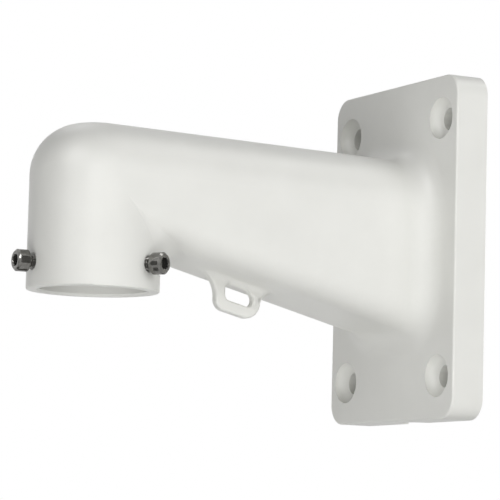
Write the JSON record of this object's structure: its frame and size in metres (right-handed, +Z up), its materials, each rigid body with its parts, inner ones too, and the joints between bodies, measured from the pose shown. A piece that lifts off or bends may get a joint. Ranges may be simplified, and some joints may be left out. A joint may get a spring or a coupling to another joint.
{
  "type": "camera wall bracket",
  "caption": "Hollow cast wall bracket with a bolt-on plate, a tapering arm, a downward pipe collar clamped by radial screws, and a tether lug under the arm.",
  "frame": {"origin": "centre of the plate's wall face and of the bolt pattern", "axes": "+Y into the wall, +Z up, the arm reaches towards -Y"},
  "size_m": [0.11, 0.2114, 0.16],
  "materials": {
    "painted_casting": "satin warm off-white paint on cast aluminium",
    "screw_steel": "bright stainless"
  },
  "bodies": {
    "bracket": {"bracket_casting": "painted_casting"},
    "front_screw": {"clamp_screw_front": "screw_steel"},
    "right_screw": {"clamp_screw_right": "screw_steel"},
    "left_screw": {"clamp_screw_left": "screw_steel"}
  },
  "joints": [
    {"name": "front_screw_travel", "type": "slide", "parent": "bracket", "child": "front_screw", "axis": [0, 1, 0], "range_m": [-0.004, 0.0023]},
    {"name": "right_screw_travel", "type": "slide", "parent": "bracket", "child": "right_screw", "axis": [-0.866, -0.5, 0], "range_m": [-0.004, 0.0023]},
    {"name": "left_screw_travel", "type": "slide", "parent": "bracket", "child": "left_screw", "axis": [0.866, -0.5, 0], "range_m": [-0.004, 0.0023]}
  ]
}
